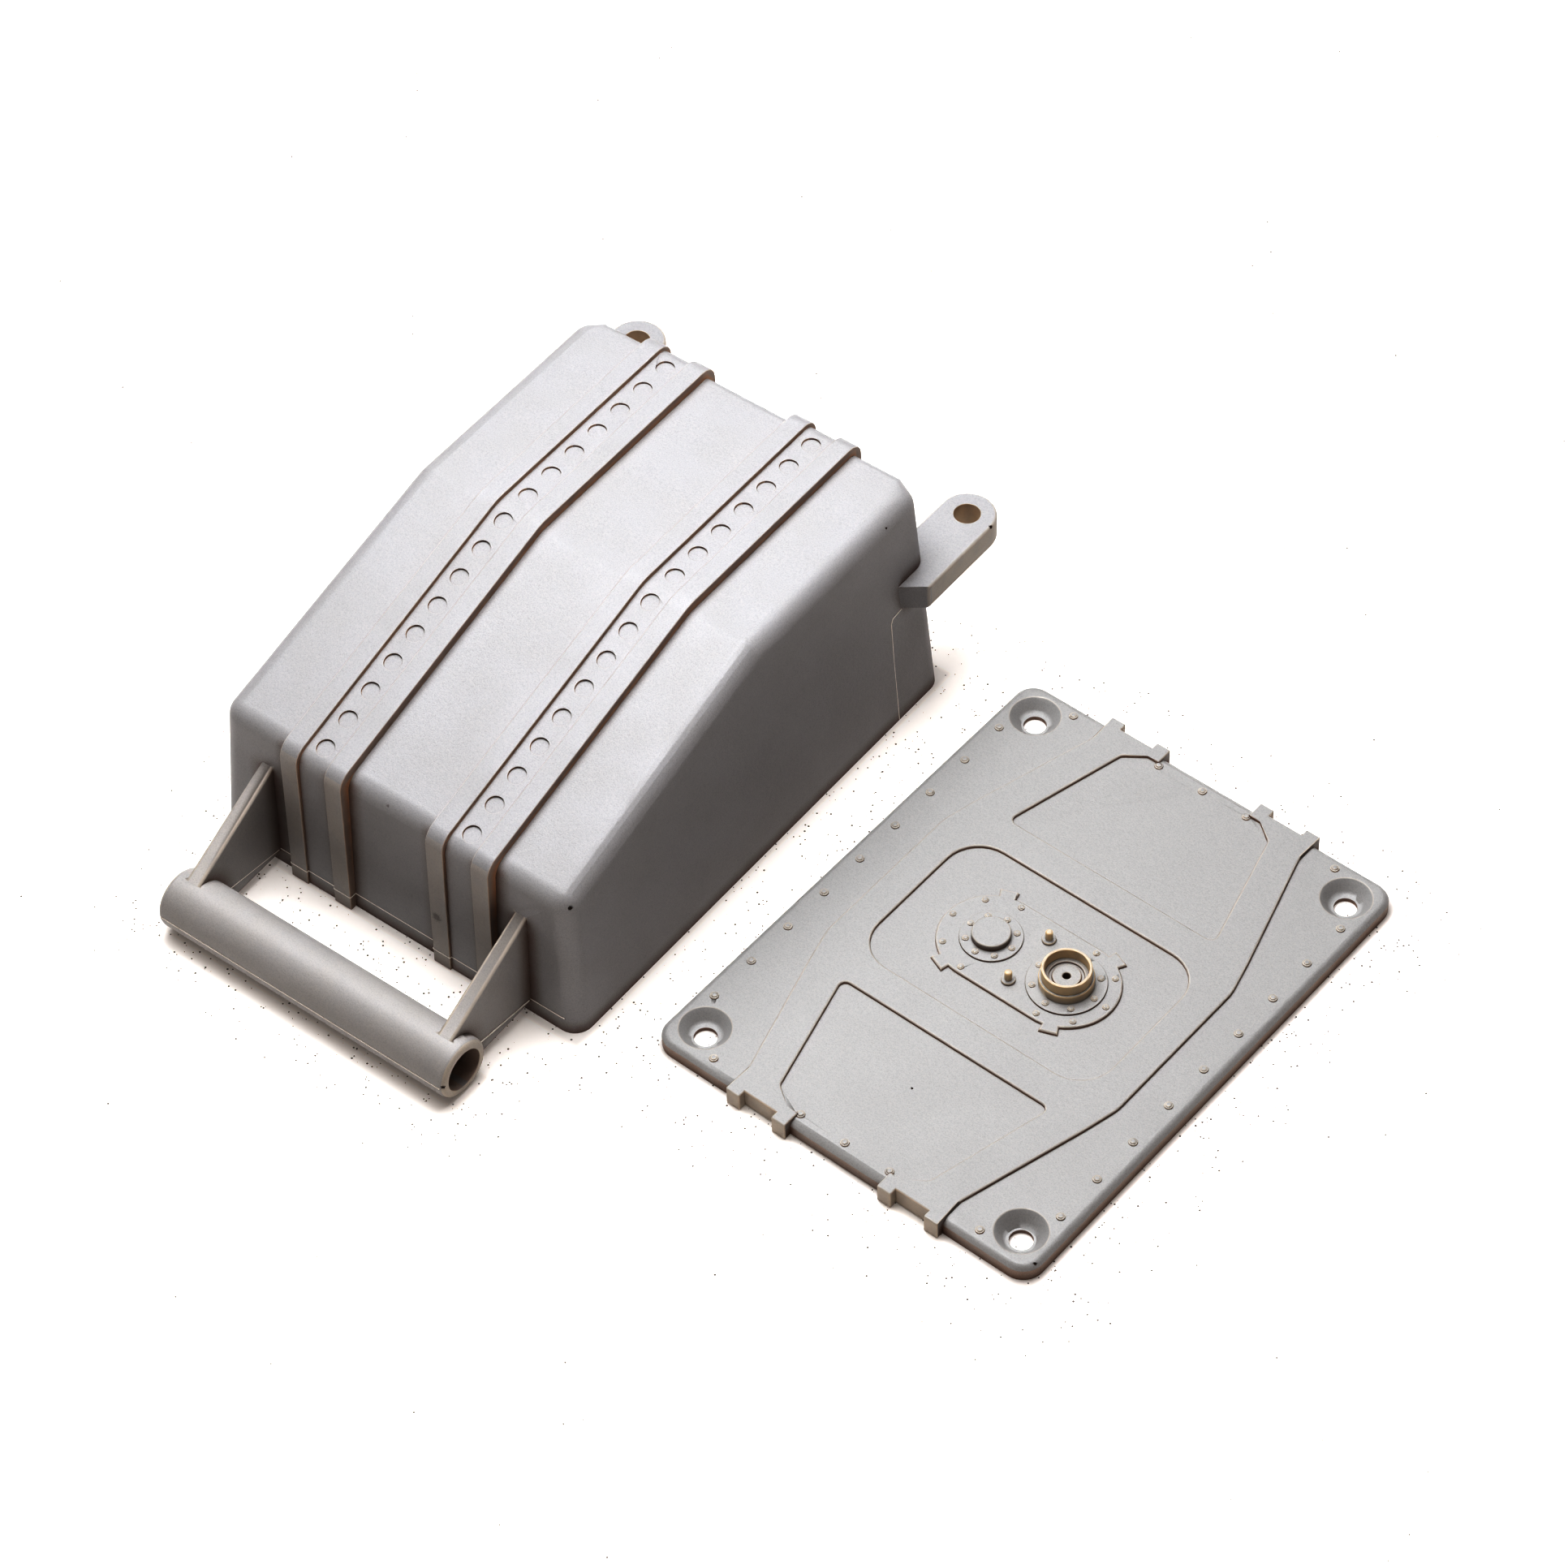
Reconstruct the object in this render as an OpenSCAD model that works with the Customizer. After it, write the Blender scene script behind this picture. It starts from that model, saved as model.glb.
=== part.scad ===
// Fuel cell cage of a tenth scale vehicle: a deep box moulding and the plate that closes its open side.
// Lengths are in millimetres. X is the width, Y the length with the rear at plus Y, and Z is up.
// Both mouldings stand on the plane z = 0, the box on its rim and the plate beside it on its flat face.

/* [Housing shell] */
// Width of the housing at its rim
shell_w = 60.8; // [58:0.2:66]
// Length of the housing at its rim
shell_l = 78; // [76:0.5:84]
// Height of the upper face where it bends, near the middle of the length
crease_z = 35.7; // [34:0.1:42]
// How far behind the middle the upper face bends
crease_y = 2.5; // [-4:0.5:8]
// Downward slope of the front part of the upper face, in degrees
front_slope = 17; // [12:0.5:18]
// Upward slope of the rear part of the upper face, in degrees
rear_slope = 1; // [0:0.5:3]
// Wall thickness of the shell
wall = 1.6; // [1.2:0.1:2.2]
// Outer radius of the upright corners at the rim
rim_r = 2.7; // [2.4:0.1:4]
// Outer radius of the front and side edges of the upper face
top_r = 2.9; // [2.6:0.1:3.4]
// Outer radius of the upper face's rear edge
rear_r = 1.3; // [1:0.1:2.4]
// Lean of the side walls, in degrees
side_lean = 3.8; // [2:0.1:4.5]
// Lean of the front wall, in degrees
front_lean = 3.4; // [2.4:0.1:4]
// Lean of the rear wall, in degrees
rear_lean = 2.3; // [1.8:0.1:3]

/* [Straps] */
// Distance of each strap's middle from the middle of the housing
strap_x = 12.2; // [11:0.1:14]
// Width of a strap over its two ribs
strap_w = 10.3; // [9:0.1:11.5]
// Width of each edge rib
rib_w = 2.85; // [2:0.05:3.2]
// Height of the strap above the upper face
strap_rise = 0.72; // [0.4:0.02:1]
// Height of the edge ribs above the strap
rib_rise = 0.66; // [0.4:0.02:1]
// Diameter of the round recesses
dot_d = 2.5; // [1.6:0.1:3]
// Depth of the round recesses
dot_depth = 0.3; // [0.2:0.05:0.5]
// Distance between the recesses, along the strap
dot_pitch = 4.79; // [4.6:0.01:4.85]

/* [Handle] */
// Outer diameter of the cross tube
tube_d = 8.5; // [7.6:0.1:9.4]
// Bore of the cross tube
tube_bore = 6; // [4:0.1:6.4]
// Length of the cross tube
tube_l = 48.4; // [47.6:0.2:56]
// Distance from the rim's front edge to the middle of the tube
tube_reach = 14.8; // [13:0.1:20]
// Distance between the middles of the two arms
arm_span = 42.5; // [41:0.1:43.5]
// Thickness of an arm at its lower edge
arm_foot_t = 2.6; // [2.2:0.1:3]
// Thickness of an arm where it meets the front wall
arm_top_t = 2; // [1.6:0.1:2.2]
// Height of an arm where it meets the front wall
arm_z = 17.4; // [14:0.2:18]

/* [Rear lugs] */
// Distance between the two lug holes, across the housing
lug_span = 56.3; // [54:0.1:58]
// Distance from the middle of the length to the lug holes
lug_y = 47.5; // [46:0.5:52]
// Width of a lug, which is also the diameter of its rounded end
lug_w = 8; // [7:0.1:9]
// Diameter of the lug holes
lug_hole = 3.6; // [2.5:0.1:4.2]
// Height of the lugs' underside
lug_z = 19.2; // [16:0.2:22]
// Thickness of the lugs
lug_t = 4; // [3:0.1:5]

/* [Closing plate] */
// How far the plate's long edges stay back from the housing's outer faces at the rim
plate_back_x = 0.2; // [0:0.05:0.5]
// How far the plate's short edges stay back from the housing's outer faces at the rim
plate_back_y = 0; // [0:0.05:0.5]
// Thickness of the plate
plate_t = 2.5; // [2:0.1:3]
// Radius of the plate's corners
plate_r = 3; // [2:0.1:4]
// Height of the raised frame and of the hatch
relief = 0.45; // [0.3:0.05:0.7]
// Distance from the plate's long edges to the middles of the screw holes
screw_inset_x = 4.75; // [4.3:0.05:5.5]
// Distance from the plate's short edges to the middles of the screw holes
screw_inset_y = 4.9; // [4.5:0.05:5.4]
// Diameter of the screw holes
screw_d = 3.1; // [2.6:0.1:3.4]
// Diameter of the countersinks at the plate's face
sink_d = 6.9; // [6:0.1:7.4]
// Diameter of the pilot holes in the housing's screw bosses
pilot_d = 2.5; // [2:0.1:2.7]
// Depth of the pilot holes
pilot_depth = 12; // [8:0.5:14]
// Turn of the plate as it lies beside the housing, in degrees
plate_turn = -2.1; // [-6:0.1:6]
// Gap between the housing's rim and the plate as they lie
lying_gap = 8.6; // [6:0.2:20]

/* [Rivets] */
// Diameter of the rivet heads along the edges
rivet_d = 1.2; // [0.8:0.1:1.4]
// Height of the rivet heads along the edges
rivet_h = 0.32; // [0.2:0.02:0.5]
// Diameter of the rivet heads on the hatch
small_rivet_d = 0.9; // [0.6:0.05:1]
// Height of the rivet heads on the hatch
small_rivet_h = 0.24; // [0.14:0.02:0.4]
// Distance between the rivets along the long edges
rivet_pitch = 7.35; // [6.6:0.05:7.4]

/* [Hatch] */
// Distance between the middles of the cap and of the ring
hatch_span = 12.2; // [12:0.1:12.6]
// Outer radius of the hatch's rounded ends
hatch_r = 7.2; // [7:0.1:7.6]
// Diameter of the flange under the cap
cap_flange_d = 8.4; // [8:0.1:8.6]
// Diameter of the cap
cap_d = 5.2; // [4:0.1:5.4]
// Height of the cap above its flange
cap_h = 0.95; // [0.5:0.05:2]
// Diameter of the flange under the ring
ring_flange_d = 10.6; // [10:0.1:10.8]
// Diameter of the ring at its foot
ring_foot_d = 7.3; // [7:0.1:7.5]
// Diameter of the ring at its mouth
ring_d = 6.6; // [6:0.1:6.8]
// Diameter of the ring's opening
ring_bore = 5.8; // [5:0.1:5.9]
// Height of the ring above its flange
ring_h = 2.9; // [2:0.1:4]
// Height of the studs above the hatch
stud_h = 1.8; // [1:0.1:3]

/* [Hidden] */

// Overlap that joins solids of one moulding
bite = 0.6;
// Length that lets a cut run past both faces
past = 1;
// Room left between the end of a pilot hole and the end of its boss
boss_cap = 3;
// Radius of a screw boss, and how far the web behind it reaches into the corner
boss_r = 3.2;
// Sides of the rounded edges of the shell, outside and inside
edge_fn = 32;
edge_fn_inside = 20;
// Sides of the small round features
dot_fn = 20;
rivet_fn = 14;
// Steps along a rounded corner of a profile
corner_steps = 5;

front_rise = tan(front_slope);
rear_rise = tan(rear_slope);

// How far the strap and its ribs stand out from the foot of the end walls, and how those faces lean
strap_foot = 0.7;
rib_foot = 1;
strap_lean = 2.4;
rib_lean = 2;
// Radii at the ends of the strap, where it turns from the upper face to the end walls, and at its bend
strap_front_r = 2.7;
strap_rear_r = 1.9;
rib_rear_r = 2.5;
bend_r = 9;
// Distances from the housing's ends and from the bend to the middles of the recesses next to them
dot_front_room = 3.15;
dot_bend_room = 1.65;
dot_after_bend = 3.4;
dot_rear_room = 4.2;
first_dot = -shell_l / 2 + dot_front_room;
first_rear_dot = crease_y + dot_after_bend;
// Steps between the recesses as seen from above, and how many fit ahead of the bend and behind it
dot_step_front = dot_pitch * cos(front_slope);
dot_step_rear = dot_pitch * cos(rear_slope);
dots_front = 1 + floor((crease_y - dot_bend_room - first_dot) / dot_step_front);
dots_rear = 1 + floor((shell_l / 2 - dot_rear_room - first_rear_dot) / dot_step_rear);

// Place of the tube's middle
tube_y = -shell_l / 2 - tube_reach;
tube_z = tube_d / 2;
// Height of the arms' lower edges above the floor, at the front wall and at the tube
arm_wall_z = 1.9;
arm_tube_z = 1;
// Radius of the tube's outer edges at its ends
tube_end_r = 0.8;

// The lug's slanted front face starts this far ahead of the hole outside, and this much further inside
lug_front = 13.7;
lug_slant = 3.1;

// Size of the plate, and the distances between its screw holes
plate_w = shell_w - 2 * plate_back_x;
plate_l = shell_l - 2 * plate_back_y;
screw_x = plate_w - 2 * screw_inset_x;
screw_y = plate_l - 2 * screw_inset_y;
// Distances of the hips of the raised frame and of its trapezoid recesses from the plate's short edges
frame_hip_inset = 3.6;
recess_hip_inset = 3.7;
// Raised frame of the plate: half widths at the foot, along the middle, and lengths of the straight runs
frame_foot = 17;
frame_half = 23.5;
frame_waist = 12;
frame_knee_x = 22.2;
frame_knee_y = 17.2;
frame_hip = plate_l / 2 - frame_hip_inset;
// Trapezoid recesses near the short edges
recess_mouth = 7.5;
recess_hip_x = 12;
recess_hip_y = plate_l / 2 - recess_hip_inset;
recess_half = 16.7;
recess_y = 17.2;
recess_r = 0.9;
// Rounded opening of the frame round the hatch
window_x = 18.9;
window_y = 12.3;
window_r = 5.2;
// Tabs in line with the housing's ribs: width, reach past the short edge, offset from the strap's middle
tab_w = 2.2;
tab_reach = 1.1;
tab_offset = 3.7;
tab_root = 1.6;
// Edge rounding of the plate: widths and heights of its two steps
edge_in = 0.9;
edge_mid = 0.3;
edge_drop = 0.8;
edge_mid_drop = 0.3;
// Rivet heads: how far they root in the plate, and the shares of the drum's height and the crown's diameter
rivet_root = 0.05;
drum_share_h = 0.6;
crown_share_d = 0.66;
// Rivets: inset of the rows from the edges, and places in the short rows
rivet_inset_x = 2.3;
rivet_inset_y = 1.8;
short_row = [-21.4, -7.15, 0, 7.15, 21.4];
long_row = 4;
// Round features of the hatch
flange_rise = 0.28;
rivet_ring = 6.3;
cap_rivet_ring = 3.35;
ring_rivet_ring = 4.45;
ring_foot_h = 1.3;
ring_floor = 1.3;
ring_groove_d = 4.2;
ring_groove_w = 0.35;
ring_eye_d = 1;
stud_y = 4.25;
stud_foot_d = 1.9;
stud_d = 1;
stud_foot_h = 0.4;
ear_r = 8.4;
ear_from = 60;
ear_to = 78;
// Diameter of the flat at the bottom of a countersink, and its height above the plate's underside
sink_flat_d = 3.7;
sink_flat_z = 0.6;

// Room that the plate's turned corners and tabs take up between the pieces, and how far back it lies
turn_room = 0.9;
plate_x = shell_w / 2 + lying_gap + plate_w / 2 + turn_room;
plate_y = 3.8;

// Profile helpers: unit vector, middle of the arc that rounds a corner, and the points of that arc
function unit(v) = v / norm(v);
function arc_middle(a, b, c, r) =
    let (u = unit(a - b), w = unit(c - b), half = acos(u * w) / 2)
    b + unit(u + w) * r / sin(half);
function arc_points(a, b, c, r, n) =
    let (u = unit(a - b), w = unit(c - b), reach = r / tan(acos(u * w) / 2), m = arc_middle(a, b, c, r),
         p = b + u * reach - m, q = b + w * reach - m,
         from = atan2(p[1], p[0]), turn = atan2(p[0] * q[1] - p[1] * q[0], p * q))
    [for (i = [0:n]) m + r * [cos(from + turn * i / n), sin(from + turn * i / n)]];
function xy(p) = [p[0], p[1]];
// Points of a closed outline whose corners are given as x, y and radius
function rounded(pts, n = corner_steps) =
    let (k = len(pts))
    [for (i = [0:k - 1])
        each pts[i][2] == 0
            ? [xy(pts[i])]
            : arc_points(xy(pts[(i + k - 1) % k]), xy(pts[i]), xy(pts[(i + 1) % k]), pts[i][2], n)];

// Side outline of the shell, or of a band round it that stands out by foot at the floor and rise on top
function front_foot(foot) = [-shell_l / 2 - foot, 0];
function rear_foot(foot) = [shell_l / 2 + foot, 0];
function bend(rise) = [crease_y, crease_z + rise];
function front_top(foot, rise, lean) =
    let (z = (crease_z + rise - (shell_l / 2 + foot + crease_y) * front_rise) / (1 - tan(lean) * front_rise))
    [-shell_l / 2 - foot + z * tan(lean), z];
function rear_top(foot, rise, lean) =
    let (z = (crease_z + rise + (shell_l / 2 + foot - crease_y) * rear_rise) / (1 + tan(lean) * rear_rise))
    [shell_l / 2 + foot - z * tan(lean), z];
function strap_z(y) = crease_z + strap_rise + (y - crease_y) * (y < crease_y ? front_rise : rear_rise);

// Middles of the top corner spheres of the shell, in the side view
ball_front = arc_middle(front_foot(0), front_top(0, 0, front_lean), bend(0), top_r);
ball_bend = arc_middle(front_top(0, 0, front_lean), bend(0), rear_top(0, 0, rear_lean), top_r);
ball_rear = arc_middle(bend(0), rear_top(0, 0, rear_lean), rear_foot(0), top_r);
function ball_x(z) = shell_w / 2 - z * tan(side_lean) - top_r / cos(side_lean);

// Solid of the shell's outer form; with cut it is the same form, smaller by that much on every side
module shell_form(cut, foot_z, sides) {
    hull()
        for (sx = [-1, 1]) {
            for (sy = [-1, 1])
                translate([sx * (shell_w / 2 - rim_r), sy * (shell_l / 2 - rim_r), foot_z])
                    cylinder(r = rim_r - cut, h = 0.02 - foot_z, $fn = sides);
            for (b = [ball_front, ball_bend, ball_rear])
                translate([sx * ball_x(b[1]), b[0], b[1]])
                    sphere(r = top_r - cut, $fn = sides);
            if (cut == 0)
                translate([0, ball_rear[0] + top_r - rear_r, ball_rear[1] + top_r - rear_r])
                    rotate([0, 90, 0])
                        cylinder(r = rear_r, h = 2 * ball_x(ball_rear[1]) - rear_r, center = true, $fn = sides);
        }
}

// Band from floor to floor over the shell, between two places across the width
module band(x, w, foot, rise, lean, front_r, end_r) {
    pts = [
        [front_foot(foot)[0], 0, 0],
        [front_top(foot, rise, lean)[0], front_top(foot, rise, lean)[1], front_r],
        [bend(rise)[0], bend(rise)[1], bend_r],
        [rear_top(foot, rise, lean)[0], rear_top(foot, rise, lean)[1], end_r],
        [rear_foot(foot)[0], 0, 0]
    ];
    translate([x, 0, 0])
        rotate([90, 0, 90])
            linear_extrude(height = w) polygon(rounded(pts));
}

module strap(x) {
    band(x - strap_w / 2, strap_w, strap_foot, strap_rise, strap_lean, strap_front_r, strap_rear_r);
    for (side = [x - strap_w / 2, x + strap_w / 2 - rib_w])
        band(side, rib_w, rib_foot, strap_rise + rib_rise, rib_lean, strap_front_r, rib_rear_r);
}

// Round recesses of one strap, each square to the face it is sunk in
module dots(x) {
    for (i = [0:dots_front - 1])
        dot(x, first_dot + i * dot_step_front, front_slope);
    for (i = [0:dots_rear - 1])
        dot(x, first_rear_dot + i * dot_step_rear, rear_slope);
}

module dot(x, y, slope) {
    translate([x, y, strap_z(y)])
        rotate([slope, 0, 0])
            translate([0, 0, -dot_depth])
                cylinder(d = dot_d, h = dot_depth + past, $fn = dot_fn);
}

// One gusset arm, on the plus X side: its side outline, with the lean of its two faces.
// Its upper edge runs straight from the front wall to the top of the tube.
module arm() {
    wall_y = -shell_l / 2 + wall;
    drop = (arm_z - tube_d) / (front_wall_y(arm_z) - tube_y);
    crest = arm_z + (wall_y - front_wall_y(arm_z)) * drop;
    intersection() {
        translate([arm_span / 2 + arm_foot_t, 0, 0])
            rotate([90, 0, -90])
                linear_extrude(height = 2 * arm_foot_t)
                    polygon([[-wall_y, arm_wall_z], [-wall_y, crest], [-tube_y, tube_d], [-tube_y, arm_tube_z]]);
        translate([arm_span / 2, wall_y, 0])
            rotate([90, 0, 0])
                linear_extrude(height = wall_y - tube_y)
                    polygon([
                        [-arm_foot_t / 2, 0], [arm_foot_t / 2, 0],
                        [arm_top_t / 2, crest], [-arm_top_t / 2, crest]
                    ]);
    }
}
function front_wall_y(z) = -shell_l / 2 + z * tan(front_lean);

module tube() {
    half = tube_l / 2;
    translate([0, tube_y, tube_z])
        rotate([0, 90, 0])
            rotate_extrude($fn = 60)
                polygon(rounded([
                    [0, -half, 0], [tube_d / 2, -half, tube_end_r], [tube_d / 2, half, tube_end_r], [0, half, 0]
                ], 3));
}

module tube_opening() {
    translate([-tube_l / 2 - past, tube_y, tube_z])
        rotate([0, 90, 0]) cylinder(d = tube_bore, h = tube_l + 2 * past, $fn = 64);
}

// One rear lug, on the plus X side: a flat bar with a rounded end and a slanted front face
module lug() {
    x = lug_span / 2;
    half = lug_w / 2;
    translate([0, 0, lug_z]) {
        linear_extrude(height = lug_t)
            polygon([
                [x - half, lug_y],
                [x - half, lug_y - lug_front - 2 * lug_slant],
                [x + half, lug_y - lug_front],
                [x + half, lug_y]
            ]);
        translate([x, lug_y, 0]) cylinder(d = lug_w, h = lug_t, $fn = 48);
    }
}

module lug_opening() {
    translate([lug_span / 2, lug_y, lug_z - past])
        cylinder(d = lug_hole, h = lug_t + 2 * past, $fn = 40);
}

// Screw boss in one corner of the shell, joined to the corner by a web
module boss() {
    h = pilot_depth + boss_cap;
    cylinder(r = boss_r, h = h, $fn = 40);
    translate([0, -boss_r / 2, 0]) cube([shell_w / 2 - screw_x / 2, boss_r, h]);
    translate([-boss_r / 2, 0, 0]) cube([boss_r, shell_l / 2 - screw_y / 2, h]);
}

module housing() {
    color("lightgray")
        difference() {
            union() {
                difference() {
                    union() {
                        shell_form(0, 0, edge_fn);
                        strap(-strap_x);
                        strap(strap_x);
                        for (side = [0, 1])
                            mirror([side, 0, 0]) {
                                arm();
                                lug();
                            }
                    }
                    shell_form(wall, -past, edge_fn_inside);
                }
                intersection() {
                    shell_form(wall / 2, 0, edge_fn_inside);
                    for (sx = [0, 1])
                        for (sy = [0, 1])
                            mirror([sx, 0, 0])
                                mirror([0, sy, 0])
                                    translate([screw_x / 2, screw_y / 2, 0]) boss();
                }
                tube();
            }
            tube_opening();
            dots(-strap_x);
            dots(strap_x);
            for (sx = [0, 1])
                mirror([sx, 0, 0]) {
                    lug_opening();
                    for (sy = [0, 1])
                        mirror([0, sy, 0])
                            translate([screw_x / 2, screw_y / 2, -past])
                                cylinder(d = pilot_d, h = pilot_depth + past, $fn = 32);
                }
        }
}

// Low round head: a short drum with a smaller crown, set a little into the face it stands on
module rivet(x, y, z, d, h) {
    translate([x, y, z - rivet_root]) {
        cylinder(d = d, h = h * drum_share_h + rivet_root, $fn = rivet_fn);
        cylinder(d = d * crown_share_d, h = h + rivet_root, $fn = rivet_fn);
    }
}

module plate_slab() {
    x = plate_w / 2 - plate_r;
    y = plate_l / 2 - plate_r;
    hull()
        for (sx = [-1, 1])
            for (sy = [-1, 1])
                translate([sx * x, sy * y, 0]) {
                    cylinder(r = plate_r, h = plate_t - edge_drop, $fn = edge_fn);
                    cylinder(r = plate_r - edge_mid, h = plate_t - edge_mid_drop, $fn = edge_fn);
                    cylinder(r = plate_r - edge_in, h = plate_t, $fn = edge_fn);
                }
}

// Outline of the raised frame, from edge to edge of the plate
module frame_outline() {
    y = plate_l / 2;
    half = [
        [frame_foot, -y, 0], [frame_foot, -frame_hip, 2.5], [frame_knee_x, -frame_knee_y, 10],
        [frame_half, -frame_waist, 8], [frame_half, frame_waist, 8], [frame_knee_x, frame_knee_y, 10],
        [frame_foot, frame_hip, 2.5], [frame_foot, y, 0]
    ];
    polygon(rounded(concat(half, [for (p = half) [-p[0], -p[1], p[2]]]), 4));
}

module end_recess() {
    polygon(rounded([
        [-recess_mouth, -plate_l / 2 - past, 0], [-recess_mouth, -plate_l / 2 + 0.3, 0],
        [-recess_hip_x, -recess_hip_y, 1], [-recess_half, -recess_y, recess_r],
        [recess_half, -recess_y, recess_r], [recess_hip_x, -recess_hip_y, 1],
        [recess_mouth, -plate_l / 2 + 0.3, 0], [recess_mouth, -plate_l / 2 - past, 0]
    ], 4));
}

module window() {
    polygon(rounded([
        [-window_x, -window_y, window_r], [window_x, -window_y, window_r],
        [window_x, window_y, window_r], [-window_x, window_y, window_r]
    ], 8));
}

module raised_frame() {
    linear_extrude(height = plate_t + relief)
        difference() {
            frame_outline();
            end_recess();
            mirror([0, 1]) end_recess();
            window();
        }
    for (sx = [-1, 1])
        for (sy = [-1, 1])
            for (off = [-tab_offset, tab_offset])
                translate([
                    sx * (strap_x + off) - tab_w / 2,
                    sy > 0 ? plate_l / 2 - tab_root : -plate_l / 2 - tab_reach,
                    0
                ])
                    cube([tab_w, tab_root + tab_reach, plate_t + relief]);
}

module edge_rivets() {
    for (sx = [-1, 1])
        for (i = [-long_row:long_row])
            rivet(sx * (plate_w / 2 - rivet_inset_x), i * rivet_pitch, plate_t, rivet_d, rivet_h);
    for (sy = [-1, 1])
        for (x = short_row)
            rivet(x, sy * (plate_l / 2 - rivet_inset_y), plate_t, rivet_d, rivet_h);
}

// Small rivets on an arc round a point of the plate
module rivet_arc(x, r, from, to, step, z) {
    for (a = [from:step:to])
        rivet(x + r * cos(a), r * sin(a), z, small_rivet_d, small_rivet_h);
}

module hatch() {
    x = hatch_span / 2;
    top = plate_t + relief;
    flange_top = top + flange_rise;
    linear_extrude(height = top) {
        translate([-x, 0]) circle(r = hatch_r, $fn = 56);
        translate([x, 0]) circle(r = hatch_r, $fn = 56);
        translate([-x, -hatch_r]) square([hatch_span, 2 * hatch_r]);
        for (sx = [0, 1])
            for (sy = [0, 1])
                mirror([sx, 0])
                    mirror([0, sy])
                        translate([x, 0])
                            polygon([
                                [0, 0],
                                ear_r * [cos(ear_from), sin(ear_from)],
                                ear_r * [cos(ear_to), sin(ear_to)]
                            ]);
    }
    translate([-x, 0, 0]) {
        cylinder(d = cap_flange_d, h = flange_top, $fn = 48);
        cylinder(d = cap_d, h = flange_top + cap_h, $fn = 40);
    }
    translate([x, 0, 0]) ring(flange_top);
    for (sy = [-1, 1])
        translate([0, sy * stud_y, 0]) {
            cylinder(d = stud_foot_d, h = top + stud_foot_h, $fn = 24);
            cylinder(d = stud_d, h = top + stud_h, $fn = 20);
        }
    rivet_arc(-x, rivet_ring, 90, 270, 45, top);
    rivet_arc(x, rivet_ring, -90, 90, 45, top);
    rivet_arc(-x, cap_rivet_ring, 0, 315, 45, flange_top);
    rivet_arc(x, ring_rivet_ring, 0, 315, 45, flange_top);
}

// Filler neck: a stepped ring with a closed floor, a shallow groove in it and a blind eye in the middle
module ring(flange_top) {
    difference() {
        union() {
            cylinder(d = ring_flange_d, h = flange_top, $fn = 56);
            cylinder(d = ring_foot_d, h = flange_top + ring_foot_h, $fn = 48);
            cylinder(d = ring_d, h = flange_top + ring_h, $fn = 48);
        }
        translate([0, 0, flange_top + ring_floor])
            cylinder(d = ring_bore, h = ring_h, $fn = 48);
        translate([0, 0, flange_top + ring_floor - 0.3])
            difference() {
                cylinder(d = ring_groove_d + ring_groove_w, h = past, $fn = 40);
                cylinder(d = ring_groove_d - ring_groove_w, h = 3 * past, center = true, $fn = 40);
            }
        translate([0, 0, flange_top - bite])
            cylinder(d = ring_eye_d, h = ring_h, $fn = 20);
    }
}

module cover_plate() {
    color("lightgray")
        translate([plate_x, plate_y, 0])
            rotate([0, 0, plate_turn])
                difference() {
                    union() {
                        plate_slab();
                        raised_frame();
                        edge_rivets();
                        hatch();
                    }
                    for (sx = [-1, 1])
                        for (sy = [-1, 1])
                            translate([sx * screw_x / 2, sy * screw_y / 2, 0]) {
                                translate([0, 0, -past])
                                    cylinder(d = screw_d, h = plate_t + 2 * past, $fn = 40);
                                translate([0, 0, sink_flat_z])
                                    cylinder(d1 = sink_flat_d, d2 = sink_d, h = plate_t - sink_flat_z, $fn = 40);
                                translate([0, 0, plate_t])
                                    cylinder(d = sink_d, h = past, $fn = 40);
                            }
                }
}

housing();
cover_plate();
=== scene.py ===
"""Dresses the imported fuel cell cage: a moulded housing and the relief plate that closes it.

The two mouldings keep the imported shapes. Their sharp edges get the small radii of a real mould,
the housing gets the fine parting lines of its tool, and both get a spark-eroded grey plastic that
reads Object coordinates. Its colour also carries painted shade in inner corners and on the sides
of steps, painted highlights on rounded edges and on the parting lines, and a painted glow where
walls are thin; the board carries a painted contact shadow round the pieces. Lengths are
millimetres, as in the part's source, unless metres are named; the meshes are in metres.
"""
import logging
import math
from collections.abc import Iterable, Sequence
from dataclasses import dataclass, replace
from enum import Enum

import bmesh
import bpy
from mathutils import Matrix, Vector


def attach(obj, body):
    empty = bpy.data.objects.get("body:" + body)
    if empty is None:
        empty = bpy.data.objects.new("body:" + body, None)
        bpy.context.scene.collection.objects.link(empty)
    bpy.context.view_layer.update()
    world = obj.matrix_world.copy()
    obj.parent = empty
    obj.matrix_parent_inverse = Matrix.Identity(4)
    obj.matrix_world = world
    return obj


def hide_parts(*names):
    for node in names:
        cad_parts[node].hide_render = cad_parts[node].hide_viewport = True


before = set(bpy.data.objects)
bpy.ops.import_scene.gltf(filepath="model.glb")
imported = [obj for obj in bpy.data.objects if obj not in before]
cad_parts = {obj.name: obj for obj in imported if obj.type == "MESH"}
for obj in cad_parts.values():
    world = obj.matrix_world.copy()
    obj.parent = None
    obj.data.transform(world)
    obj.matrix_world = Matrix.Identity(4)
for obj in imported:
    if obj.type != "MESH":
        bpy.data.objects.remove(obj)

MM = 0.001
# Distance in metres below which the points of a section or of a bead are one
WELD = 1e-7
# Masks that a mesh carries for its material: painted highlights on rounded edges, a painted glow
# of light through thin walls and painted shade on the sides of low steps
EDGE_HIGHLIGHT_MASK = "painted_edge_highlight"
THIN_GLOW_MASK = "thin_wall"
STEP_SHADE_MASK = "painted_step_shade"
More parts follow.
